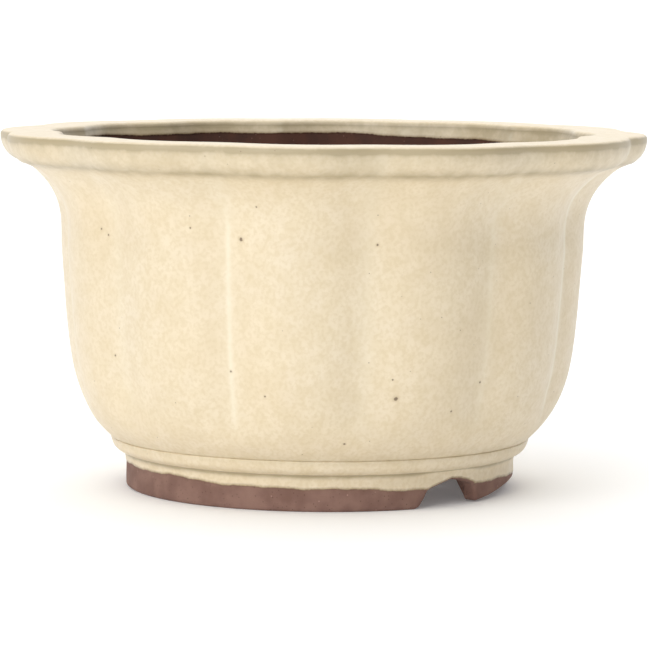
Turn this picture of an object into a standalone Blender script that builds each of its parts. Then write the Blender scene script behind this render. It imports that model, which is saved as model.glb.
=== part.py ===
"""A round lobed bonsai pot of glazed stoneware, modelled as the clay pieces that a potter joins.

A pressed wall stands on a rounded bead band and a notched foot ring. A flat flared lip caps it, and
a floor slab with a drain hole and four holes for the tree's tie wires closes it below.

Metres, +Z up. The origin is on the surface that the pot stands on, at the pot's axis. An azimuth of
0 is at -Y and it grows towards +X. The two drainage notches of the foot lie on the X axis.
"""

import bmesh
import bpy
from math import cos, pi, radians, sin, sqrt
from mathutils import Vector

# Overall sizes
POT_HEIGHT = 0.192
LIP_RADIUS = 0.175  # across the crown of a lobe

# Lip
LIP_WIDTH = 0.029
LIP_THICKNESS = 0.015
LIP_TOP_ROUND = 0.004
LIP_UNDER_ROUND = 0.0105
LIP_INNER_ROUND = 0.003

# Wall, whose waist is the narrowest place under the lip
FLARE_REACH = 0.0334  # how far the lip stands out past the waist
FLARE_HEIGHT = 0.061  # from the waist to the top of the lip
WALL_THICKNESS = 0.0095  # at the waist
BELLY_TAPER = 0.0075
BELLY_POWER = 5.5  # how late the belly turns in, outside
BELLY_INNER_POWER = 5.0
FLARE_POWER = 3.2
FLARE_INNER_POWER = 1.6

# Foot ring
FOOT_INSET = 0.0361  # from the waist in to the foot
FOOT_HEIGHT = 0.0193
FOOT_THICKNESS = 0.0135
FOOT_EDGE_ROUND = 0.0018
NOTCH_WIDTH = 0.036
NOTCH_HEIGHT = 0.0138
NOTCH_AZIMUTHS = (radians(90), radians(270))

# Bead band
BEAD_SWELL = 0.0072  # how far the bead stands out past the foot
BEAD_HEIGHT = 0.0078
BEAD_CROWN_HEIGHT = 0.0060  # from the bead's bottom to where it is widest

# Floor slab
FLOOR_THICKNESS = 0.010
FLOOR_REBATE = 0.0025  # how far the slab's edge lies inside the foot ring's outside
DRAIN_RADIUS = 0.022
TIE_HOLE_RADIUS = 0.004
TIE_HOLE_INSET = 0.045  # from the slab's edge to the tie holes
TIE_HOLE_COUNT = 4

# Creases between the lobes: sharp ones part the petals, and a soft valley runs down each petal
PETALS = 6
CREASE_DEPTH_LIP = 0.0062
CREASE_DEPTH_WAIST = 0.0046
SHARP_CREASE = 0.05  # share of half a lobe over which a crease is rounded
SOFT_CREASE = 0.34
CREASE_END = 0.007  # how far above the wall's bottom the creases end
CREASE_FADE = 0.024  # the height over which they fade out

JOINT_GAP = 0.0003
STEPS_PER_LOBE = 6  # even, so that a section lies on each crown
ROUND_STEPS = 72

WAIST_RADIUS = LIP_RADIUS - FLARE_REACH
WAIST_HEIGHT = POT_HEIGHT - FLARE_HEIGHT
MOUTH_RADIUS = LIP_RADIUS - LIP_WIDTH
LIP_BOTTOM = POT_HEIGHT - LIP_THICKNESS
LIP_SEAT_RADIUS = LIP_RADIUS - LIP_UNDER_ROUND
FOOT_RADIUS = WAIST_RADIUS - FOOT_INSET
BEAD_RADIUS = FOOT_RADIUS + BEAD_SWELL
BEAD_BOTTOM = FOOT_HEIGHT + JOINT_GAP
BEAD_TOP = BEAD_BOTTOM + BEAD_HEIGHT
WALL_TOP = LIP_BOTTOM - JOINT_GAP
WALL_BOTTOM = BEAD_TOP + JOINT_GAP
WALL_SEAT_RADIUS = BEAD_RADIUS + JOINT_GAP
FLOOR_BOTTOM = FOOT_HEIGHT + JOINT_GAP
FLOOR_TOP = FLOOR_BOTTOM + FLOOR_THICKNESS
FLOOR_RADIUS = FOOT_RADIUS - FLOOR_REBATE
FLOOR_CLEAR_RADIUS = FLOOR_RADIUS + JOINT_GAP
TIE_HOLE_CIRCLE_RADIUS = FLOOR_RADIUS - TIE_HOLE_INSET

CLAY = ("bare_clay", (0.150, 0.070, 0.052, 1), 0.85)
GLAZE = ("cream_glaze", (0.78, 0.66, 0.44, 1), 0.30)


def clear_scene():
    for thing in list(bpy.data.objects):
        bpy.data.objects.remove(thing, do_unlink=True)


def material(finish):
    name, colour, roughness = finish
    found = bpy.data.materials.get(name)
    if found:
        return found
    made = bpy.data.materials.new(name)
    made.use_nodes = True
    shader = made.node_tree.nodes["Principled BSDF"]
    shader.inputs["Base Color"].default_value = colour
    shader.inputs["Roughness"].default_value = roughness
    shader.inputs["Metallic"].default_value = 0.0
    return made


def add_object(name, mesh, finish=None):
    thing = bpy.data.objects.new(name, mesh)
    bpy.context.scene.collection.objects.link(thing)
    if finish:
        mesh.materials.append(material(finish))
    return thing


def place(radius, azimuth, height):
    """A point at this distance from the axis, azimuth and height."""
    return Vector((radius * sin(azimuth), -radius * cos(azimuth), height))


def smooth_share(value, low, high):
    share = min(1.0, max(0.0, (value - low) / (high - low)))
    return share * share * (3 - 2 * share)


# The pot's outline, and the creases that press it in


def outer_radius(height):
    """Outside of the wall across the crown of a lobe."""
    if height >= WAIST_HEIGHT:
        rise = (height - WAIST_HEIGHT) / (LIP_BOTTOM - WAIST_HEIGHT)
        return WAIST_RADIUS + (LIP_SEAT_RADIUS - WAIST_RADIUS) * rise**FLARE_POWER
    drop = (WAIST_HEIGHT - height) / (WAIST_HEIGHT - WALL_BOTTOM)
    turn_in = WAIST_RADIUS - BELLY_TAPER - WALL_SEAT_RADIUS
    return WAIST_RADIUS - BELLY_TAPER * drop - turn_in * drop**BELLY_POWER


def inner_radius(height):
    """Inside of the wall and of the lip across the crown of a lobe."""
    inner_waist = WAIST_RADIUS - WALL_THICKNESS
    if height >= WAIST_HEIGHT:
        rise = (height - WAIST_HEIGHT) / (POT_HEIGHT - WAIST_HEIGHT)
        return inner_waist + (MOUTH_RADIUS - inner_waist) * rise**FLARE_INNER_POWER
    drop = min(1.0, (WAIST_HEIGHT - height) / (WAIST_HEIGHT - WALL_BOTTOM))
    turn_in = inner_waist - BELLY_TAPER - FLOOR_CLEAR_RADIUS
    return inner_waist - BELLY_TAPER * drop - turn_in * drop**BELLY_INNER_POWER


def crease_depth(height):
    """How far a crease lies inside the lobes' crowns at this height."""
    rise = max(0.0, (height - WAIST_HEIGHT) / (POT_HEIGHT - WAIST_HEIGHT))
    depth = CREASE_DEPTH_WAIST + (CREASE_DEPTH_LIP - CREASE_DEPTH_WAIST) * rise
    crease_end = WALL_BOTTOM + CREASE_END
    return depth * smooth_share(height, crease_end, crease_end + CREASE_FADE)


def press(share, softness):
    """1 in a crease and 0 on a crown. The share runs from 0 in the crease to 1 on the crown."""
    rounded = min(1.0, sqrt(share * share + softness * softness))
    return ((1 - rounded) / (1 - softness)) ** 2


def lobe_sections():
    """(azimuth, press) of each section round the pot, sharp and soft creases taking turns."""
    lobe_angle = pi / PETALS
    sections = []
    for lobe in range(2 * PETALS):
        softness = (SOFT_CREASE, SHARP_CREASE) if lobe % 2 == 0 else (SHARP_CREASE, SOFT_CREASE)
        for step in range(STEPS_PER_LOBE):
            across = step / STEPS_PER_LOBE
            nearer = softness[0] if across < 0.5 else softness[1]
            share = 2 * min(across, 1 - across)
            sections.append(((lobe + across) * lobe_angle, press(share, nearer)))
    return sections


def arc(centre, radius, start, end, count):
    """Points (radius, height) on an arc of the profile, its angles taken from the outward direction."""
    turns = [start + (end - start) * i / (count - 1) for i in range(count)]
    return [(centre[0] + radius * cos(t), centre[1] + radius * sin(t)) for t in turns]


def heights(low, high, count, crowding):
    """Heights from low to high, closer together towards low when crowding is over 1."""
    return [low + (high - low) * (i / (count - 1)) ** crowding for i in range(count)]


# Builders


def lobed_ring(name, profile, finish):
    """A ring of one closed profile of (radius, height) points, pressed in at the creases."""
    bm = bmesh.new()
    rows = []
    for azimuth, amount in lobe_sections():
        rows.append([bm.verts.new(place(r - crease_depth(z) * amount, azimuth, z)) for r, z in profile])
    count = len(profile)
    for row, after in zip(rows, rows[1:] + rows[:1]):
        for i in range(count):
            j = (i + 1) % count
            bm.faces.new((row[i], row[j], after[j], after[i]))
    bmesh.ops.recalc_face_normals(bm, faces=bm.faces)
    mesh = bpy.data.meshes.new(name)
    bm.to_mesh(mesh)
    bm.free()
    mesh.shade_smooth()
    mesh.set_sharp_from_angle(angle=radians(35))
    return add_object(name, mesh, finish)


def turned_ring(name, profile, finish):
    """A round ring turned from a closed profile that runs down its outer side."""
    mesh = bpy.data.meshes.new(name)
    count = len(profile)
    edges = [(i, (i + 1) % count) for i in range(count)]
    mesh.from_pydata([(r, 0, z) for r, z in profile], edges, [])
    ring = add_object(name, mesh, finish)
    screw = ring.modifiers.new("turn", "SCREW")
    screw.angle = 2 * pi
    screw.steps = ROUND_STEPS
    screw.render_steps = ROUND_STEPS
    screw.use_merge_vertices = True
    screw.merge_threshold = 0.0001
    screw.use_smooth_shade = True
    return ring


def cylinder(name, radius, low, high, steps, finish=None):
    bm = bmesh.new()
    depth = high - low
    bmesh.ops.create_cone(bm, cap_ends=True, segments=steps, radius1=radius, radius2=radius, depth=depth)
    bmesh.ops.translate(bm, verts=bm.verts, vec=(0, 0, low + depth / 2))
    mesh = bpy.data.meshes.new(name)
    bm.to_mesh(mesh)
    bm.free()
    return add_object(name, mesh, finish)


def arch_prism(name, width, height, below, length):
    """A half-round arch along Y that reaches this far below its base."""
    steps = 14
    outline = [(-width / 2, -below), (width / 2, -below)]
    for i in range(steps + 1):
        turn = pi * i / steps
        outline.append((width / 2 * cos(turn), height * sin(turn)))
    bm = bmesh.new()
    end = bm.faces.new([bm.verts.new((x, -length / 2, z)) for x, z in outline])
    moved = bmesh.ops.extrude_face_region(bm, geom=[end])["geom"]
    moved = [item for item in moved if isinstance(item, bmesh.types.BMVert)]
    bmesh.ops.translate(bm, verts=moved, vec=(0, length, 0))
    bmesh.ops.recalc_face_normals(bm, faces=bm.faces)
    mesh = bpy.data.meshes.new(name)
    bm.to_mesh(mesh)
    bm.free()
    return add_object(name, mesh)


def cut(thing, cutter):
    cutter.hide_render = True
    cutter.display_type = "WIRE"
    boolean = thing.modifiers.new(cutter.name, "BOOLEAN")
    boolean.operation = "DIFFERENCE"
    boolean.object = cutter


# Pieces of the pot


def make_pot_wall():
    outside = heights(WALL_BOTTOM, WAIST_HEIGHT, 9, 1.5)
    outside += heights(WAIST_HEIGHT, WALL_TOP, 7, 0.7)[1:]
    inside = heights(WALL_BOTTOM, WAIST_HEIGHT, 7, 1.6)
    inside += heights(WAIST_HEIGHT, WALL_TOP, 4, 1.0)[1:]
    profile = [(outer_radius(z), z) for z in reversed(outside)]
    profile += [(inner_radius(z), z) for z in inside]
    lobed_ring("pot_wall", profile, GLAZE)


def make_rim_lip():
    """The flat lip, rounded outside and lobed like the wall that it sits on."""
    crown = (LIP_RADIUS - LIP_TOP_ROUND, POT_HEIGHT - LIP_TOP_ROUND)
    mouth = (MOUTH_RADIUS + LIP_INNER_ROUND, POT_HEIGHT - LIP_INNER_ROUND)
    underside = (LIP_SEAT_RADIUS, LIP_BOTTOM + LIP_UNDER_ROUND)
    profile = arc(mouth, LIP_INNER_ROUND, pi, pi / 2, 3)
    profile += arc(crown, LIP_TOP_ROUND, pi / 2, 0, 4)
    profile += arc(underside, LIP_UNDER_ROUND, 0, -pi / 2, 5)
    profile.append((inner_radius(LIP_BOTTOM), LIP_BOTTOM))
    lobed_ring("rim_lip", profile, GLAZE)


def make_bead_band():
    """The rounded moulding between the wall and the foot, widest near its top."""
    widest = BEAD_BOTTOM + BEAD_CROWN_HEIGHT
    outside = [(BEAD_RADIUS - JOINT_GAP, BEAD_TOP)]
    for i in range(8):
        turn = pi / 2 * i / 7
        outside.append((FOOT_RADIUS + BEAD_SWELL * cos(turn), widest - BEAD_CROWN_HEIGHT * sin(turn)))
    inside = [(FLOOR_CLEAR_RADIUS, BEAD_BOTTOM), (FLOOR_CLEAR_RADIUS, BEAD_TOP)]
    turned_ring("bead_band", outside + inside, GLAZE)


def make_foot_ring():
    """The foot ring, with a half-round notch at each azimuth where water runs out."""
    inner = FOOT_RADIUS - FOOT_THICKNESS
    profile = [(FOOT_RADIUS, FOOT_HEIGHT)]
    profile += arc((FOOT_RADIUS - FOOT_EDGE_ROUND, FOOT_EDGE_ROUND), FOOT_EDGE_ROUND, 0, -pi / 2, 4)
    profile += arc((inner + FOOT_EDGE_ROUND, FOOT_EDGE_ROUND), FOOT_EDGE_ROUND, -pi / 2, -pi, 3)
    profile.append((inner, FOOT_HEIGHT))
    ring = turned_ring("foot_ring", profile, CLAY)
    for number, azimuth in enumerate(NOTCH_AZIMUTHS):
        length = 3 * FOOT_THICKNESS
        name = f"notch_cutter_{number + 1}"
        cutter = arch_prism(name, NOTCH_WIDTH, NOTCH_HEIGHT, FOOT_EDGE_ROUND, length)
        cutter.location = place(FOOT_RADIUS - FOOT_THICKNESS / 2, azimuth, 0)
        cutter.rotation_euler.z = azimuth
        cut(ring, cutter)


def make_floor_slab():
    """The slab that the soil stands on."""
    slab = cylinder("floor_slab", FLOOR_RADIUS, FLOOR_BOTTOM, FLOOR_TOP, ROUND_STEPS, CLAY)
    low, high = FLOOR_BOTTOM - FLOOR_THICKNESS, FLOOR_TOP + FLOOR_THICKNESS
    cut(slab, cylinder("drain_cutter", DRAIN_RADIUS, low, high, 32))
    for i in range(TIE_HOLE_COUNT):
        azimuth = 2 * pi * (i + 0.5) / TIE_HOLE_COUNT
        cutter = cylinder(f"tie_hole_cutter_{i + 1}", TIE_HOLE_RADIUS, low, high, 16)
        cutter.location = place(TIE_HOLE_CIRCLE_RADIUS, azimuth, 0)
        cut(slab, cutter)


def main():
    clear_scene()
    make_pot_wall()
    make_rim_lip()
    make_bead_band()
    make_foot_ring()
    make_floor_slab()


main()
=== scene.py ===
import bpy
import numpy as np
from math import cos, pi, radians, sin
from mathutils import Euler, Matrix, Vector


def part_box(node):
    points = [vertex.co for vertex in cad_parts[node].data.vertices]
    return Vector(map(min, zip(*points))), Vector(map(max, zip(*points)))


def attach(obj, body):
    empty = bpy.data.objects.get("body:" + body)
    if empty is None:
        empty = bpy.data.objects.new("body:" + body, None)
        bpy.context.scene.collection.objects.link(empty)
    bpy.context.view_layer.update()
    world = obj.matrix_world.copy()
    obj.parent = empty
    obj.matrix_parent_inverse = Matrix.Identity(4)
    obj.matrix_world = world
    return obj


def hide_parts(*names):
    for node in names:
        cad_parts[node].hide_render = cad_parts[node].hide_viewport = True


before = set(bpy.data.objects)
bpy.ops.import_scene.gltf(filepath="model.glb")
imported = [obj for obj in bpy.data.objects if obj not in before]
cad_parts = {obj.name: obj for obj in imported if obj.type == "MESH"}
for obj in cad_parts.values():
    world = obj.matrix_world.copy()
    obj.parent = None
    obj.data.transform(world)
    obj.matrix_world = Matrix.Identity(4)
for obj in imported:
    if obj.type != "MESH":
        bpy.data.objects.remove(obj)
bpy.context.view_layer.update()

# The looks of a round bonsai pot of cream glazed stoneware with pressed petals, on a pale floor.
#
# Metres, +Z up, the pot's axis on Z and its foot on the floor. An azimuth of 0 is at -Y and it
# grows towards +X. Every piece is a profile of (radius, height) points that is spun round the axis.
# The points of the wall, the lip, the moulding and the foot are then moved by formulas, which press
# in the creases between the petals, cut the notches and leave the small unevenness of a thrown pot.

MM = 0.001
WELD = 0.01 * MM

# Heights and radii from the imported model, the seams in the middle of its joint gaps
POT_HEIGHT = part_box("rim_lip")[1].z
LIP_SEAM = (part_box("rim_lip")[0].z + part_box("pot_wall")[1].z) / 2
WALL_SEAM = (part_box("pot_wall")[0].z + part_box("bead_band")[1].z) / 2
FOOT_SEAM = (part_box("bead_band")[0].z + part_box("foot_ring")[1].z) / 2
FLOOR_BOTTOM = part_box("floor_slab")[0].z
FLOOR_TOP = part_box("floor_slab")[1].z
FOOT_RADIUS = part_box("foot_ring")[1].y
BEAD_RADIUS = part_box("bead_band")[1].y

# Outline, close to the part's, with a tighter top edge on the lip and a groove under the belly
LIP_RADIUS = 0.175
MOUTH_RADIUS = 0.146
WAIST_RADIUS = 0.1416
WAIST_HEIGHT = 0.131
LIP_TOP_ROUND = 0.0024
LIP_UNDER_ROUND = 0.0105
LIP_INNER_ROUND = 0.003
LIP_SEAT_RADIUS = LIP_RADIUS - LIP_UNDER_ROUND
WALL_THICKNESS = 0.0095
BELLY_TAPER = 0.0075
BELLY_POWER = 5.5
FLARE_POWER = 3.2
FLARE_INNER_POWER = 1.6
WALL_SEAT_RADIUS = 0.1130
GROOVE_RADIUS = 0.1119
SLAB_RADIUS = 0.1033
BEAD_CROWN = 0.0060
FOOT_THICKNESS = 0.0135
FOOT_EDGE = 0.0020
FOOT_SLANT_WIDTH = 0.005
FOOT_SLANT_HEIGHT = 0.010
FLOOR_CORNER = 0.007
FLOOR_CORNER_RISE = 0.003
HOLE_ROUND = 0.0012
DRAIN_RADIUS = 0.022
TIE_HOLE_RADIUS = 0.004
TIE_HOLE_CIRCLE = 0.058

# Creases
PETALS = 6
CREASE_DEPTH_LIP = 0.0062
CREASE_DEPTH_WAIST = 0.0046
# How far each crease is rounded, from azimuth 0 on, low on the wall and at the lip
WALL_SOFTNESS = (0.46, 0.19, 0.34, 0.28, 0.05, 0.34, 0.08, 0.30, 0.10, 0.36, 0.08, 0.05)
LIP_SOFTNESS = (0.50, 0.44, 0.50, 0.42, 0.08, 0.34, 0.12, 0.30, 0.14, 0.36, 0.10, 0.05)
LEAN = radians(5)
LEAN_AZIMUTH = radians(122)
LEAN_WIDTH = radians(12)
LEAN_START = 0.158
LEAN_FULL = 0.182
LIP_SOFTNESS_START = 0.145
CREASE_END = WALL_SEAM + 0.007
CREASE_FADE = 0.024

# Drainage notches, one on either side, and the part of the bottom edge that is worn away beside one
NOTCH_REACH = 0.030
NOTCH_COLUMNS = 49
WORN_RISE = 0.006

# Glaze: how thick it is, and how much fills the hollow corners over what width
GLAZE_THICKNESS = 0.00045
LIP_FILL = 0.0015
LIP_FILL_WIDTH = 0.0036
LIP_FILL_SLOPE = radians(-12)
GROOVE_FILL = 0.0011
GROOVE_FILL_WIDTH = 0.0022

# Points round a piece; the foot has more, for its notches
ROUND_STEPS = 720
FOOT_STEPS = 1080

# Clay, red and fresh on the foot, and darker inside where soil and water have lain
FOOT_CLAY = (0.270, 0.158, 0.124)
FOOT_CLAY_DARK = (0.175, 0.092, 0.070)
INNER_CLAY = (0.082, 0.027, 0.013)
INNER_CLAY_DARK = (0.044, 0.015, 0.008)

# Cream glaze, its cloudier tints, and what shows through it
CREAM = (0.735, 0.616, 0.432)
CREAM_PALE = (0.755, 0.650, 0.480)
CREAM_MILKY = (0.80, 0.69, 0.50)
CREAM_DEEP = (0.675, 0.555, 0.355)
CREAM_FRECKLE = (0.64, 0.515, 0.31)
# Whiter glaze gathered in the creases, also a painted highlight along them
POOLED_WHITE_AND_HIGHLIGHT = (0.84, 0.77, 0.61)
# Olive of thinner glaze, also used as painted shade under the lip and the belly, in the grooves and
# inside the mouth
THIN_OLIVE_AND_SHADE = (0.40, 0.325, 0.195)
FRINGE_BROWN = (0.33, 0.235, 0.125)
EDGE_BROWN = (0.16, 0.09, 0.045)
PINHOLE_BROWN = (0.26, 0.17, 0.09)
HALO_BROWN = (0.45, 0.32, 0.17)
IRON_BROWN = (0.11, 0.065, 0.035)
COAT_ROUGHNESS = 0.42

# Iron spots that have bled through the glaze: azimuth in degrees, height and size in millimetres
IRON_SPOTS = (
    (33, 143, 1.1), (67, 62, 1.2), (-5, 144, 0.7), (-3, 141, 0.6), (22, 148, 0.5), (37, 160, 0.5),
    (-3, 78, 0.6), (30, 75, 0.6), (38, 63, 0.5), (62, 141, 0.6), (66, 72, 0.5), (89, 68, 0.6),
    (81, 54, 0.6), (56, 38, 0.7), (150, 120, 0.9), (205, 90, 0.8), (262, 130, 0.8), (310, 60, 0.9),
)

# Where the camera stands and looks, and how bright the surround, its far side and the floor are
CAMERA_AZIMUTH = radians(50)
CAMERA_PITCH = radians(5.58)
CAMERA_ROLL = radians(0.5)
CAMERA_DISTANCE = 1.954
CAMERA_LENS = 199.4
AIM_HEIGHT = 0.087
AIM_RIGHT = 0.0024
SURROUND = 0.2
BACKDROP = 1.3
FLOOR_GLOW = 0.1


# Shapes of the profile


def rows(low, high, count, crowding=1.0):
    """Count numbers from low to high, closer together towards low when crowding is over 1."""
    return [low + (high - low) * (i / (count - 1)) ** crowding for i in range(count)]


def arc(centre, width, height, start, end, count):
    """Points on an arc of an ellipse, its angles taken from the outward direction."""
    turns = rows(start, end, count)
    return [(centre[0] + width * cos(t), centre[1] + height * sin(t)) for t in turns]


def outer_radius(height):
    """Outside of the wall across the crown of a lobe, turned in at its bottom to the groove."""
    if height >= WAIST_HEIGHT:
        rise = (height - WAIST_HEIGHT) / (LIP_SEAM - WAIST_HEIGHT)
        return WAIST_RADIUS + (LIP_SEAT_RADIUS - WAIST_RADIUS) * rise**FLARE_POWER
    drop = (WAIST_HEIGHT - height) / (WAIST_HEIGHT - WALL_SEAM)
    turn_in = WAIST_RADIUS - BELLY_TAPER - WALL_SEAT_RADIUS
    rounding = max(0.0, 1 - (height - WALL_SEAM) / (1.6 * MM)) ** 2
    groove = (WALL_SEAT_RADIUS - GROOVE_RADIUS) * rounding
    return WAIST_RADIUS - BELLY_TAPER * drop - turn_in * drop**BELLY_POWER - groove


def inner_radius(height):
    """Inside of the wall and of the lip across the crown of a lobe."""
    inner_waist = WAIST_RADIUS - WALL_THICKNESS
    if height >= WAIST_HEIGHT:
        rise = (height - WAIST_HEIGHT) / (POT_HEIGHT - LIP_INNER_ROUND - WAIST_HEIGHT)
        return inner_waist + (MOUTH_RADIUS - inner_waist) * rise**FLARE_INNER_POWER
    drop = (WAIST_HEIGHT - height) / (WAIST_HEIGHT - WALL_SEAM)
    return inner_waist - BELLY_TAPER * drop - (inner_waist - BELLY_TAPER - SLAB_RADIUS) * drop**5


def wall_profile():
    outside = rows(WALL_SEAM, WAIST_HEIGHT, 52, 1.35)
    outside += rows(WAIST_HEIGHT, LIP_SEAM, 42, 0.75)[1:]
    inside = rows(WALL_SEAM, LIP_SEAM, 34)
    return [(outer_radius(z), z) for z in reversed(outside)] + [(inner_radius(z), z) for z in inside]


def lip_profile():
    """Up the mouth, out over the lip and round its outer edge to the seam with the wall."""
    profile = [(inner_radius(z), z) for z in rows(LIP_SEAM, POT_HEIGHT - LIP_INNER_ROUND, 26)]
    mouth = (MOUTH_RADIUS + LIP_INNER_ROUND, POT_HEIGHT - LIP_INNER_ROUND)
    profile += arc(mouth, LIP_INNER_ROUND, LIP_INNER_ROUND, pi, pi / 2, 9)[1:]
    edge = LIP_RADIUS - LIP_TOP_ROUND
    profile += [(r, POT_HEIGHT) for r in rows(mouth[0], edge, 16)][1:-1]
    profile += arc((edge, POT_HEIGHT - LIP_TOP_ROUND), LIP_TOP_ROUND, LIP_TOP_ROUND, pi / 2, 0, 11)
    drop = POT_HEIGHT - LIP_TOP_ROUND - LIP_SEAM
    profile += arc((LIP_SEAT_RADIUS, LIP_SEAM + drop), LIP_UNDER_ROUND, drop, 0, -pi / 2, 20)[1:]
    profile += [(r, LIP_SEAM) for r in rows(LIP_SEAT_RADIUS, inner_radius(LIP_SEAM), 4)][1:-1]
    return profile


def bead_profile():
    """A rounded band, widest near its top, between a shallow groove and the foot."""
    widest = FOOT_SEAM + BEAD_CROWN
    back = (GROOVE_RADIUS, widest)
    profile = arc(back, BEAD_RADIUS - GROOVE_RADIUS, WALL_SEAM - widest, pi / 2, 0, 9)
    swell = BEAD_RADIUS - FOOT_RADIUS
    profile += arc((FOOT_RADIUS, widest), swell, BEAD_CROWN, 0, -pi / 2, 22)[1:]
    return profile + [(SLAB_RADIUS, FOOT_SEAM), (SLAB_RADIUS, WALL_SEAM)]


def foot_profile():
    """Upright outside, and slanting inside from a narrow bottom up to the full thickness."""
    inner = FOOT_RADIUS - FOOT_THICKNESS
    profile = [(FOOT_RADIUS, z) for z in rows(FOOT_SEAM, FOOT_EDGE, 44)]
    profile += arc((FOOT_RADIUS - FOOT_EDGE, FOOT_EDGE), FOOT_EDGE, FOOT_EDGE, 0, -pi / 2, 7)[1:]
    across = rows(FOOT_RADIUS - FOOT_EDGE - FOOT_SLANT_WIDTH, inner, 12)
    profile += list(zip(across, rows(0, FOOT_SLANT_HEIGHT, 12, 1.2)))
    return profile + [(inner, z) for z in rows(FOOT_SLANT_HEIGHT, FOOT_SEAM, 5)][1:]


def slab_profile():
    """The floor from its drain hole to the wall, where clay is pressed up into the corner."""
    low = (DRAIN_RADIUS + HOLE_ROUND, FLOOR_BOTTOM + HOLE_ROUND)
    high = (DRAIN_RADIUS + HOLE_ROUND, FLOOR_TOP - HOLE_ROUND)
    profile = [(r, FLOOR_BOTTOM) for r in rows(SLAB_RADIUS, low[0], 24)][:-1]
    profile += arc(low, HOLE_ROUND, HOLE_ROUND, -pi / 2, -pi, 5)
    profile += arc(high, HOLE_ROUND, HOLE_ROUND, pi, pi / 2, 5)
    for r in rows(high[0], SLAB_RADIUS, 44)[1:]:
        corner = max(0.0, (r - SLAB_RADIUS + FLOOR_CORNER) / FLOOR_CORNER)
        profile.append((r, FLOOR_TOP + FLOOR_CORNER_RISE * corner**2))
    return profile


# Making a mesh


def deselect():
    bpy.ops.object.select_all(action="DESELECT")


def edit():
    bpy.ops.object.mode_set(mode="EDIT")
    bpy.ops.mesh.select_all(action="SELECT")


def spun_ring(name, profile, steps=ROUND_STEPS):
    """A point is drawn out along the closed profile, and the line is spun round the axis."""
    deselect()
    bpy.ops.mesh.primitive_plane_add(size=MM)
    ring = bpy.context.object
    ring.name = ring.data.name = name
    edit()
    bpy.ops.mesh.merge(type="CENTER")
    bpy.ops.transform.translate(value=(profile[0][0], 0, profile[0][1]))
    for before, after in zip(profile, profile[1:] + profile[:1]):
        move = (after[0] - before[0], 0, after[1] - before[1])
        bpy.ops.mesh.extrude_region_move(TRANSFORM_OT_translate={"value": move})
    bpy.ops.mesh.select_all(action="SELECT")
    bpy.ops.mesh.remove_doubles(threshold=WELD)
    bpy.ops.mesh.spin(steps=steps, angle=2 * pi, center=(0, 0, 0), axis=(0, 0, 1))
    bpy.ops.mesh.select_all(action="SELECT")
    bpy.ops.mesh.remove_doubles(threshold=WELD)
    bpy.ops.mesh.normals_make_consistent(inside=False)
    bpy.ops.object.mode_set(mode="OBJECT")
    return ring


def smooth(piece, angle=40):
    deselect()
    piece.select_set(True)
    bpy.context.view_layer.objects.active = piece
    bpy.ops.object.shade_smooth_by_angle(angle=radians(angle))


def cut_away(piece, cutter):
    """Takes the cutter out of the piece and removes it."""
    boolean = piece.modifiers.new("cut", "BOOLEAN")
    boolean.operation = "DIFFERENCE"
    boolean.object = cutter
    bpy.context.view_layer.objects.active = piece
    bpy.ops.object.modifier_apply(modifier="cut")
    bpy.data.objects.remove(cutter)


def read_points(piece):
    """(radius, azimuth, height) arrays of the piece's points."""
    co = np.zeros(len(piece.data.vertices) * 3)
    piece.data.vertices.foreach_get("co", co)
    x, y, z = co.reshape(-1, 3).T
    return np.hypot(x, y), np.arctan2(x, -y), z


def write_points(piece, radius, azimuth, height):
    """Puts the piece's points at these places."""
    co = np.column_stack((radius * np.sin(azimuth), -radius * np.cos(azimuth), height))
    piece.data.vertices.foreach_set("co", co.astype(np.float32).ravel())
    piece.data.update()


def write_values(piece, **values):
    """Keeps a number per point under each name, for the finish to read."""
    for name, value in values.items():
        kept = piece.data.attributes.new(name, "FLOAT", "POINT")
        kept.data.foreach_set("value", np.asarray(value, np.float32))


# Pressing the petals in, and the marks of the hand


def smooth_share(value, low, high):
    share = np.clip((value - low) / (high - low), 0, 1)
    return share * share * (3 - 2 * share)


def crease_depth(height):
    """How far a crease lies inside the lobes' crowns at this height."""
    rise = np.clip((height - WAIST_HEIGHT) / (POT_HEIGHT - WAIST_HEIGHT), 0, 1)
    depth = CREASE_DEPTH_WAIST + (CREASE_DEPTH_LIP - CREASE_DEPTH_WAIST) * rise
    return depth * smooth_share(height, CREASE_END, CREASE_END + CREASE_FADE)


def crowd_to_creases(azimuth):
    """Draws the evenly spun columns closer together at the twelve creases."""
    return azimuth - 0.55 / (2 * PETALS) * np.sin(2 * PETALS * azimuth)


def lobe_place(azimuth, height):
    """The place in lobes round the pot: whole at a crease. One crease leans over at the lip."""
    lean = LEAN * np.exp(-((np.mod(azimuth - LEAN_AZIMUTH + pi, 2 * pi) - pi) ** 2) / LEAN_WIDTH**2)
    return (azimuth - lean * smooth_share(height, LEAN_START, LEAN_FULL)) * PETALS / pi


def crease_softness(azimuth, height):
    """How softly the nearest crease is pressed."""
    nearest = np.mod(np.round(lobe_place(azimuth, height)), 2 * PETALS).astype(int)
    low, high = np.array(WALL_SOFTNESS)[nearest], np.array(LIP_SOFTNESS)[nearest]
    return low + (high - low) * smooth_share(height, LIP_SOFTNESS_START, LIP_SEAM)


def press(azimuth, height):
    """1 in a crease and 0 on a crown."""
    lobe = lobe_place(azimuth, height)
    share = 2 * np.abs(lobe - np.round(lobe))
    softness = crease_softness(azimuth, height)
    rounded = np.minimum(1, np.sqrt(share**2 + softness**2))
    return ((1 - rounded) / (1 - softness)) ** 2


def hand_marks(azimuth, height):
    """Slow swells of the pressed clay, between -1 and 1."""
    swell = 0.4 * np.sin(5 * azimuth + 21 * height + 0.6) * np.sin(3 * azimuth - 34 * height)
    swell += 0.35 * np.sin(9 * azimuth - 55 * height + 2.0) * np.sin(47 * height + 4 * azimuth)
    return swell + 0.25 * np.sin(17 * azimuth + 83 * height) * np.sin(13 * azimuth - 90 * height + 1)


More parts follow.
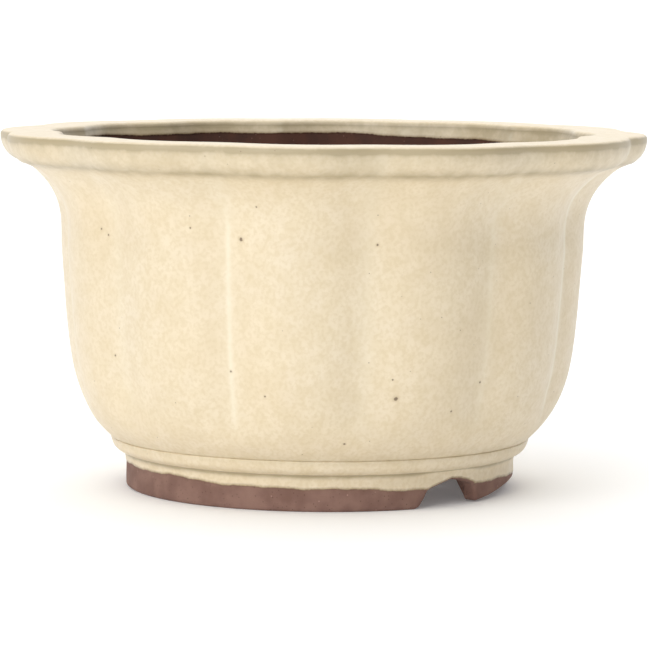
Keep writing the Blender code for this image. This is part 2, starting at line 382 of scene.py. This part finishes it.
def press_in(radius, azimuth, height):
    """The radius and height of a turned point once the petals are pressed and the pot has dried."""
    radius = radius - crease_depth(height) * press(azimuth, height)
    rise = np.clip(height / POT_HEIGHT, 0, 1)
    radius = radius + rise * MM * (0.4 * np.sin(2 * azimuth + 0.7) + 0.25 * np.sin(5 * azimuth + 2.1))
    radius = radius + 0.22 * MM * hand_marks(azimuth, height) * smooth_share(height, 0.02, 0.05)
    back = np.clip(np.cos(azimuth - radians(185)), 0, 1) ** 2
    height = height + rise**3 * MM * (0.7 * back + 0.15 * np.sin(3 * azimuth + 1.0) - 0.1)
    return radius, height


def fill(radius, height, corner, slope, amount, width):
    """Rounds a hollow corner of the profile with glaze that lies in it, pushed out along the slope."""
    pushed = amount * near(radius, height, corner, width)
    return radius + pushed * cos(slope), height + pushed * sin(slope)


def foot_glaze_height(azimuth):
    """How low the glaze runs down the foot: lower on one side, and wavy."""
    height = 11.9 + 2.3 * np.cos(azimuth + radians(50)) + 0.4 * np.sin(7 * azimuth + 1.2)
    height += 0.32 * np.sin(13 * azimuth + 0.3) + 0.22 * np.sin(29 * azimuth)
    height += 0.12 * np.sin(61 * azimuth)
    return height * MM


def mouth_glaze_height(azimuth):
    """Where the glaze inside the mouth stops."""
    height = 182.9 + 2.1 * np.cos(azimuth - radians(290)) + 0.4 * np.sin(5 * azimuth + 0.4)
    height += 0.25 * np.sin(11 * azimuth + 2.2) + 0.15 * np.sin(23 * azimuth)
    height += 0.1 * np.sin(53 * azimuth)
    return height * MM


def near(radius, height, spot, width):
    """1 at a place of the profile, fading over the width."""
    return np.exp(-((radius - spot[0]) ** 2 + (height - spot[1]) ** 2) / width**2)


def pooled(azimuth, height):
    """Where glaze has gathered in the sharp creases and, less, in the soft ones; the same line also
    paints the highlight that the creases catch.
    """
    lobe = lobe_place(azimuth, height)
    away = np.abs(lobe - np.round(lobe)) * pi / PETALS * WAIST_RADIUS / MM
    softness = crease_softness(azimuth, height)
    line = (1 - smooth_share(softness, 0.04, 0.36)) * np.exp(-((away / 1.5) ** 2))
    strength = line + 0.2 * np.exp(-((away / 5) ** 2))
    return strength * smooth_share(height, CREASE_END + 0.004, CREASE_END + CREASE_FADE)


# The pieces


def shape_petals(piece):
    """Presses the wall or the lip, with its glaze thinner on the edges and ending inside the mouth. Its
    olive also paints shade under the lip, over the groove and inside the mouth.
    """
    radius, azimuth, height = read_points(piece)
    azimuth = crowd_to_creases(azimuth)
    inside = radius < np.interp(height, INNER_HEIGHTS, INNER_RADII) + 0.4 * MM
    inside &= height < POT_HEIGHT - LIP_INNER_ROUND + 0.1 * MM
    edge = np.where(inside, height - mouth_glaze_height(azimuth), 0.02)
    seat = (LIP_SEAT_RADIUS, LIP_SEAM)
    groove = (GROOVE_RADIUS, WALL_SEAM)
    lip_edge = (LIP_RADIUS - 0.3 * MM, POT_HEIGHT - 2.4 * MM)
    mouth_edge = (MOUTH_RADIUS, POT_HEIGHT - 2.0 * MM)
    under_lip = (LIP_SEAT_RADIUS + 1 * MM, LIP_SEAM + 1.2 * MM)
    thin = 0.9 * near(radius, height, lip_edge, 1.7 * MM) + 0.3 * near(radius, height, lip_edge, 5 * MM)
    thin += 0.6 * near(radius, height, mouth_edge, 2.4 * MM)
    # Painted shade under the lip, where the lip shades the wall, besides the olive tint of thinner
    # glaze at the seam
    thin += 0.70 * near(radius, height, under_lip, 5 * MM)
    thin += 0.20 * smooth_share(radius, LIP_SEAT_RADIUS - 6 * MM, LIP_SEAT_RADIUS + 2 * MM)
    # Inside the mouth: olive of thinner glaze, darkened further as painted shade
    thin += 0.55 * inside
    thin *= smooth_share(POT_HEIGHT - height, 0.1 * MM, 1.3 * MM)
    # Painted shade on the bottom of the belly over the groove, where less light reaches from below
    thin += 0.22 * near(radius, height, groove, 6 * MM)
    bare = 1 - smooth_share(edge, -0.3 * MM, 0.6 * MM)
    thickness = GLAZE_THICKNESS * bare
    # Painted highlight along the creases, besides the glaze gathered in them
    pool = pooled(azimuth, height) * (height < POT_HEIGHT - 1 * MM)
    lip_fill = LIP_FILL * (radius > WAIST_RADIUS)
    radius = radius + thickness
    radius, height = fill(radius, height, seat, LIP_FILL_SLOPE, lip_fill, LIP_FILL_WIDTH)
    radius, height = fill(radius, height, groove, 0, GROOVE_FILL, GROOVE_FILL_WIDTH)
    pressed, lifted = press_in(radius, azimuth, height)
    write_points(piece, pressed, azimuth, lifted)
    write_values(piece, glaze_edge=edge / MM, thin_glaze=thin, pooled_glaze=pool)


def shape_bead(piece):
    """Fills the hollows over and under the moulding, where the glaze runs thinner, and darkens them
    with olive that is partly painted shade.
    """
    radius, azimuth, height = read_points(piece)
    groove = (GROOVE_RADIUS, WALL_SEAM)
    seat = (FOOT_RADIUS, FOOT_SEAM)
    # Painted shade in the grooves over and under the moulding, besides the olive of thinner glaze
    thin = 0.22 * near(radius, height, groove, 2.2 * MM) + 1.3 * near(radius, height, seat, 1.7 * MM)
    radius, height = fill(radius, height, groove, 0, GROOVE_FILL, GROOVE_FILL_WIDTH)
    radius, height = fill(radius, height, seat, 0, GROOVE_FILL, GROOVE_FILL_WIDTH)
    pressed, lifted = press_in(radius, azimuth, height)
    write_points(piece, pressed, azimuth, lifted)
    write_values(piece, glaze_edge=np.full(len(radius), 20.0), thin_glaze=thin, pooled_glaze=0 * radius)


def notch_path(columns):
    """The notch's edge, column by column: the place along the foot, the height, and the direction
    into the clay. One side is cut at a slant and the other is steep."""
    marks = (-columns, -42, -38, -31, -27, -22, -16, -8, 0, 9, 18, 26, 31, 38, 42, columns)
    along = (-30, -20.6, -18.2, -14.9, -13.3, -10, -6, -1.5, 2.4, 8.5, 14.8, 19.2, 20.6, 21, 22.8, 30)
    up = (0, 0, 1.2, 5.8, 9.0, 10.5, 11.6, 12.9, 14.0, 13.5, 11.9, 10.2, 8, 1.8, 0, 0)
    column = np.linspace(-columns, columns, 40 * columns + 1)
    u = np.interp(column, marks, along)
    v = np.interp(column, marks, up)
    half = 35
    blur = np.hanning(2 * half)
    blur /= blur.sum()
    padded = [np.pad(line, half, "reflect", reflect_type="odd") for line in (u, v)]
    u, v = (np.convolve(line, blur, "same")[half:-half] for line in padded)
    du, dv = np.gradient(u), np.gradient(v)
    length = np.hypot(du, dv)
    return column, u * MM, v * MM, -dv / length, du / length


def cut_notches(radius, azimuth, height):
    """Bends the foot's bottom edge up round a low arch on either side, its rounding with it, and
    lifts it where it is worn."""
    reach = NOTCH_REACH / FOOT_RADIUS
    column, u, v, into_u, into_v = notch_path(NOTCH_COLUMNS)
    away = np.mod(azimuth, pi) - pi / 2
    at = away / reach * NOTCH_COLUMNS
    depth = np.minimum(height, FOOT_EDGE)
    rise = np.clip((height - FOOT_EDGE) / (FOOT_SEAM - FOOT_EDGE), 0, 1)
    path_u = np.interp(at, column, u) + np.interp(at, column, into_u) * depth
    path_v = np.interp(at, column, v) + np.interp(at, column, into_v) * depth
    affected = np.abs(away) < reach
    turned = (path_u / FOOT_RADIUS - away) * (1 - rise)
    raised = path_v * (1 - rise) + FOOT_SEAM * rise
    azimuth = np.where(affected, azimuth + turned, azimuth)
    height = np.where(affected, raised, height)
    worn = smooth_share(azimuth, radians(94), radians(132))
    worn = worn * (1 - smooth_share(azimuth, radians(136), radians(165)))
    return azimuth, height + worn * WORN_RISE * (1 - np.clip(height / FOOT_SEAM, 0, 1))


def shape_foot(piece):
    """Cuts the notches, and ends the glaze part of the way down the outside."""
    radius, azimuth, height = read_points(piece)
    outside = radius > FOOT_RADIUS - 0.3 * MM
    moved, lifted = cut_notches(radius, azimuth, height)
    edge = np.minimum(lifted - foot_glaze_height(moved), height - 0.7 * MM)
    edge = np.where(outside, edge, -0.02)
    seat = (FOOT_RADIUS, FOOT_SEAM)
    # Painted shade in the groove under the moulding, besides the olive of thinner glaze
    thin = 1.3 * near(radius, height, seat, 1.7 * MM)
    radius, lifted = fill(radius, lifted, seat, 0, GROOVE_FILL * outside, GROOVE_FILL_WIDTH)
    thickness = GLAZE_THICKNESS * (1 - smooth_share(edge, -0.3 * MM, 0.6 * MM))
    wobble = 0.25 * MM * hand_marks(moved, lifted * 3) * outside
    pressed, dried = press_in(radius - thickness + wobble, moved, lifted)
    write_points(piece, pressed, moved, np.where(height > 0, dried, lifted))
    write_values(piece, glaze_edge=edge / MM, thin_glaze=thin, pooled_glaze=0 * radius)


def make_floor_slab():
    """The slab has a drain hole, and four holes with rounded edges for the wires that tie a tree."""
    slab = spun_ring("pot_floor", slab_profile(), 180)
    rounding = 1 * MM
    wide = TIE_HOLE_RADIUS + rounding
    for number in range(4):
        turn = pi / 2 * (number + 0.5)
        place = Vector((TIE_HOLE_CIRCLE * sin(turn), -TIE_HOLE_CIRCLE * cos(turn), 0))
        side = arc((wide, FLOOR_TOP - rounding), rounding, rounding, pi / 2, pi, 5)
        side += arc((wide, FLOOR_BOTTOM + rounding), rounding, rounding, pi, 3 * pi / 2, 5)
        top, bottom = FLOOR_TOP + 3 * MM, FLOOR_BOTTOM - 3 * MM
        outline = [(0, top), (wide, top)] + side + [(wide, bottom), (0, bottom)]
        cutter = spun_ring("tie_hole", outline, 40)
        edit()
        bpy.ops.transform.translate(value=place)
        bpy.ops.object.mode_set(mode="OBJECT")
        cut_away(slab, cutter)
    radius, azimuth, height = read_points(slab)
    upper = smooth_share(height, FLOOR_BOTTOM + 2 * MM, FLOOR_TOP)
    height = height + 0.25 * MM * upper * np.sin(5 * azimuth + 60 * radius) * np.sin(90 * radius)
    write_points(slab, radius, azimuth, height)
    return slab


# Finishes


class Number:
    """A node's output that adds, multiplies and so on as a number does."""

    def __init__(self, finish, socket):
        self.finish = finish
        self.socket = socket

    def __add__(self, other):
        return self.finish.maths("ADD", self, other)

    def __sub__(self, other):
        return self.finish.maths("SUBTRACT", self, other)

    def __rsub__(self, other):
        return self.finish.maths("SUBTRACT", other, self)

    def __mul__(self, other):
        return self.finish.maths("MULTIPLY", self, other)

    def __truediv__(self, other):
        return self.finish.maths("DIVIDE", self, other)

    __radd__ = __add__
    __rmul__ = __mul__


class Finish:
    """A material put together from nodes, its patterns in the pot's own metres."""

    def __init__(self, name):
        self.material = bpy.data.materials.new(name)
        self.material.use_nodes = True
        self.tree = self.material.node_tree
        self.shader = self.tree.nodes["Principled BSDF"]
        self.place = self.node("ShaderNodeTexCoord", output="Object")

    def node(self, kind, inputs=None, output=0, **settings):
        made = self.tree.nodes.new(kind)
        for name, value in settings.items():
            setattr(made, name, value)
        for name, value in (inputs or {}).items():
            self.feed(made.inputs[name], value)
        return Number(self, made.outputs[output])

    def feed(self, socket, value):
        if isinstance(value, Number):
            self.tree.links.new(value.socket, socket)
        else:
            socket.default_value = value

    def maths(self, operation, first, second):
        return self.node("ShaderNodeMath", {0: first, 1: second}, operation=operation)

    def larger(self, first, second):
        return self.maths("MAXIMUM", first, second)

    def step(self, value, low, high):
        """0 below low, 1 above high and smooth between."""
        inputs = {"Value": value, "From Min": low, "From Max": high}
        return self.node("ShaderNodeMapRange", inputs, interpolation_type="SMOOTHSTEP")

    def mix(self, share, first, second):
        inputs = {0: share, 6: (*first, 1) if isinstance(first, tuple) else first}
        inputs[7] = (*second, 1) if isinstance(second, tuple) else second
        return self.node("ShaderNodeMix", inputs, output=2, data_type="RGBA")

    def noise(self, scale, detail=2.0, stretch=None):
        inputs = {"Vector": self.place, "Scale": scale, "Detail": detail}
        if stretch:
            inputs["Vector"] = self.node("ShaderNodeMapping", {"Vector": self.place, "Scale": stretch})
        return self.node("ShaderNodeTexNoise", inputs)

    def grains(self, spacing, size):
        """1 in scattered round grains of about this radius, 0 between them."""
        away = self.node("ShaderNodeTexVoronoi", {"Vector": self.place, "Scale": 1 / spacing})
        return 1 - self.step(away, 0.5 * size / spacing, size / spacing)

    def value(self, name):
        return self.node("ShaderNodeAttribute", output="Fac", attribute_name=name)

    def distance(self, spot):
        """How far a point is from this spot."""
        inputs = {0: self.place, 1: spot}
        return self.node("ShaderNodeVectorMath", inputs, output="Value", operation="DISTANCE")

    def finish(self, colour, roughness, height, bump_height, coat=None):
        self.feed(self.shader.inputs["Base Color"], colour)
        self.feed(self.shader.inputs["Roughness"], roughness)
        bump = self.node("ShaderNodeBump", {"Height": height, "Distance": bump_height, "Strength": 1.0})
        self.feed(self.shader.inputs["Normal"], bump)
        if coat:
            self.feed(self.shader.inputs["Coat Weight"], coat)
            self.shader.inputs["Coat Roughness"].default_value = COAT_ROUGHNESS
        return self.material


def spot_place(azimuth, height):
    azimuth, height = radians(azimuth), height * MM
    radius = outer_radius(height)
    pressed, lifted = press_in(np.array(radius), np.array(azimuth), np.array(height))
    return float(pressed) * sin(azimuth), -float(pressed) * cos(azimuth), float(lifted)


def clay_colour(finish, light, dark):
    """Groggy clay: cloudy, with pale and dark grains. Gives its colour and its grain."""
    clouds = finish.step(finish.noise(70, 4), 0.35, 0.65)
    streaks = finish.noise(260, 3, (1, 1, 0.25))
    colour = finish.mix(clouds * 0.6 + streaks * 0.4, dark, light)
    pale = finish.grains(5.2 * MM, 0.50 * MM)
    black = finish.grains(2.4 * MM, 0.40 * MM)
    colour = finish.mix(pale * 0.55, colour, tuple(0.06 + 1.6 * part for part in light))
    colour = finish.mix(black * 0.6, colour, tuple(0.3 * part for part in dark))
    grain = finish.noise(1500, 4) * 0.7 + finish.noise(420, 3) * 0.6 + pale * 0.25 - black * 0.3
    return colour, grain


def glazed_stoneware(name, clay_light, clay_dark):
    """Cream glaze over clay. It breaks to olive where it runs thinner and brown at its bare edge. The
    olive also paints shade in the hollows and inside the mouth, and a whiter line paints highlights in
    the creases.
    """
    finish = Finish(name)
    clay, grain = clay_colour(finish, clay_light, clay_dark)
    fine = finish.noise(620, 3)
    edge = finish.value("glaze_edge") + (fine - 0.5) * 1.1
    cover = finish.step(edge, -0.1, 0.35)
    cloud = finish.noise(55, 4)
    mottled = finish.step(finish.noise(130, 4), 0.32, 0.70)
    thin = finish.value("thin_glaze") * (0.35 + cloud * 0.9 + mottled * 0.4)
    pool = finish.value("pooled_glaze")

    broad = finish.step(finish.noise(16, 3), 0.3, 0.7)
    freckled = finish.step(finish.noise(480, 3), 0.40, 0.66)
    glaze = finish.mix(broad, CREAM, CREAM_PALE)
    glaze = finish.mix(finish.step(cloud, 0.35, 0.65) * 0.35, glaze, CREAM_MILKY)
    glaze = finish.mix(mottled * 0.48, glaze, CREAM_DEEP)
    glaze = finish.mix(freckled * 0.44, glaze, CREAM_FRECKLE)
    # Painted highlight: the creases are whitened, besides the glaze gathered in them
    glaze = finish.mix(pool * 0.75, glaze, POOLED_WHITE_AND_HIGHLIGHT)
    # Olive of thinner glaze, also painted shade under the lip and belly, in the grooves and inside the
    # mouth
    glaze = finish.mix(finish.maths("MINIMUM", thin, 1.0) * 0.95, glaze, THIN_OLIVE_AND_SHADE)
    fringe = 1 - finish.step(edge, 0.4, 2.0)
    glaze = finish.mix(fringe * 0.8, glaze, FRINGE_BROWN)
    glaze = finish.mix((1 - finish.step(edge, 0.1, 0.8)) * 0.8, glaze, EDGE_BROWN)

    pinholes = finish.grains(9 * MM, 0.42 * MM)
    glaze = finish.mix(pinholes * 0.55, glaze, PINHOLE_BROWN)
    spots = pinholes * 0.3
    halo = pinholes * 0.1
    for azimuth, height, size in IRON_SPOTS:
        away = finish.distance(spot_place(azimuth, height)) / (size * MM) + (fine - 0.5) * 0.8
        spots = finish.larger(spots, 1 - finish.step(away, 0.55, 1.05))
        halo = finish.larger(halo, 1 - finish.step(away, 0.8, 2.4))
    glaze = finish.mix(halo * 0.3, glaze, HALO_BROWN)
    glaze = finish.mix(spots * 0.8, glaze, IRON_BROWN)

    colour = finish.mix(cover, clay, glaze)
    roughness = 0.88 - cover * (0.46 - mottled * 0.06)
    peel = finish.noise(240, 2) * 0.55 + finish.noise(750, 2) * 0.2 - spots * 0.8
    height = cover * (peel + 1.0) + (1 - cover) * grain
    return finish.finish(colour, roughness, height, 0.11 * MM, coat=cover * 0.28)


def bare_clay(name, inside, underside):
    """The floor, darker and redder where soil and water have lain than under the pot."""
    finish = Finish(name)
    dark, grain = clay_colour(finish, inside, tuple(0.6 * part for part in inside))
    light, _ = clay_colour(finish, underside, tuple(0.75 * part for part in underside))
    up = finish.node("ShaderNodeSeparateXYZ", {0: finish.place}, output="Z")
    colour = finish.mix(finish.step(up, FLOOR_BOTTOM + 2 * MM, FLOOR_BOTTOM + 6 * MM), light, dark)
    return finish.finish(colour, 0.82 + finish.noise(90) * 0.16, grain, 0.2 * MM)


def place_piece(piece, node, finish):
    """Gives the piece its finish and lets it stand for its CAD node."""
    smooth(piece)
    piece.data.materials.clear()
    piece.data.materials.append(finish)
    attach(piece, "root")
    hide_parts(node)


INNER_HEIGHTS = rows(WALL_SEAM, POT_HEIGHT - LIP_INNER_ROUND, 60)
INNER_RADII = [inner_radius(z) for z in INNER_HEIGHTS]

inner_glaze = glazed_stoneware("cream_glaze_over_dark_clay", INNER_CLAY, INNER_CLAY_DARK)
foot_glaze = glazed_stoneware("cream_glaze_over_foot_clay", FOOT_CLAY, FOOT_CLAY_DARK)
floor_clay = bare_clay("bare_floor_clay", INNER_CLAY, FOOT_CLAY)

wall = spun_ring("petal_wall", wall_profile())
shape_petals(wall)
place_piece(wall, "pot_wall", inner_glaze)

lip = spun_ring("flared_lip", lip_profile())
shape_petals(lip)
place_piece(lip, "rim_lip", inner_glaze)

bead = spun_ring("bead_moulding", bead_profile())
shape_bead(bead)
place_piece(bead, "bead_band", foot_glaze)

foot = spun_ring("notched_foot", foot_profile(), FOOT_STEPS)
shape_foot(foot)
place_piece(foot, "foot_ring", foot_glaze)

slab = make_floor_slab()
place_piece(slab, "floor_slab", floor_clay)


# Studio


def direction(azimuth, elevation):
    """From the pot towards this azimuth and elevation."""
    level = cos(elevation)
    return Vector((sin(azimuth) * level, -cos(azimuth) * level, sin(elevation)))


def add_camera():
    bpy.ops.object.camera_add()
    camera = bpy.context.object
    camera.name = "studio_camera"
    back = direction(CAMERA_AZIMUTH, CAMERA_PITCH)
    right = Vector((cos(CAMERA_AZIMUTH), sin(CAMERA_AZIMUTH), 0))
    camera.location = Vector((0, 0, AIM_HEIGHT)) + right * AIM_RIGHT + back * CAMERA_DISTANCE
    turned = back.to_track_quat("Z", "Y").to_matrix() @ Euler((0, 0, CAMERA_ROLL)).to_matrix()
    camera.rotation_euler = turned.to_euler()
    camera.data.sensor_width = 36
    camera.data.lens = CAMERA_LENS
    bpy.context.scene.camera = camera


def add_soft_light(name, azimuth, elevation, spread, strength):
    """Light from a far and wide source, so that it is even all over the floor."""
    toward = direction(radians(azimuth), radians(elevation))
    bpy.ops.object.light_add(type="SUN", location=toward * 2)
    light = bpy.context.object
    light.name = name
    light.rotation_euler = toward.to_track_quat("Z", "Y").to_euler()
    light.data.angle = radians(spread)
    light.data.energy = strength


def add_floor():
    """A pale floor that reaches to the horizon."""
    deselect()
    bpy.ops.mesh.primitive_plane_add(size=240)
    ground = bpy.context.object
    ground.name = "studio_floor"
    pale = Finish("pale_floor")
    shade = pale.mix(pale.noise(3), (0.925, 0.93, 0.94), (0.945, 0.95, 0.96))
    pale.feed(pale.shader.inputs["Base Color"], shade)
    pale.shader.inputs["Roughness"].default_value = 0.9
    pale.shader.inputs["Specular IOR Level"].default_value = 0.1
    pale.shader.inputs["Emission Color"].default_value = (1, 1, 1, 1)
    pale.shader.inputs["Emission Strength"].default_value = FLOOR_GLOW
    ground.data.materials.append(pale.material)


def light_world():
    """A white surround, brighter on the far side like a lit backdrop, and plain white where seen."""
    world = bpy.data.worlds.new("studio_world")
    world.use_nodes = True
    nodes, links = world.node_tree.nodes, world.node_tree.links
    behind = nodes.new("ShaderNodeVectorMath")
    behind.operation = "DOT_PRODUCT"
    behind.inputs[1].default_value = -direction(CAMERA_AZIMUTH, 0)
    links.new(nodes.new("ShaderNodeTexCoord").outputs["Generated"], behind.inputs[0])
    backdrop = nodes.new("ShaderNodeMapRange")
    backdrop.interpolation_type = "SMOOTHSTEP"
    links.new(behind.outputs["Value"], backdrop.inputs["Value"])
    shares = {"From Min": 0.25, "From Max": 0.85, "To Min": SURROUND, "To Max": BACKDROP}
    for name, value in shares.items():
        backdrop.inputs[name].default_value = value
    seen = nodes.new("ShaderNodeMapRange")
    links.new(nodes.new("ShaderNodeLightPath").outputs["Is Camera Ray"], seen.inputs["Value"])
    links.new(backdrop.outputs[0], seen.inputs["To Min"])
    nodes["Background"].inputs["Color"].default_value = (1, 1, 1, 1)
    links.new(seen.outputs[0], nodes["Background"].inputs["Strength"])
    bpy.context.scene.world = world


add_camera()
add_floor()
light_world()
add_soft_light("key_light", 10, 22, 50, 1.56)
add_soft_light("top_light", 0, 90, 80, 1.9)
add_soft_light("front_light", 50, 9, 60, 0.5)
bpy.context.scene.view_settings.view_transform = "Standard"
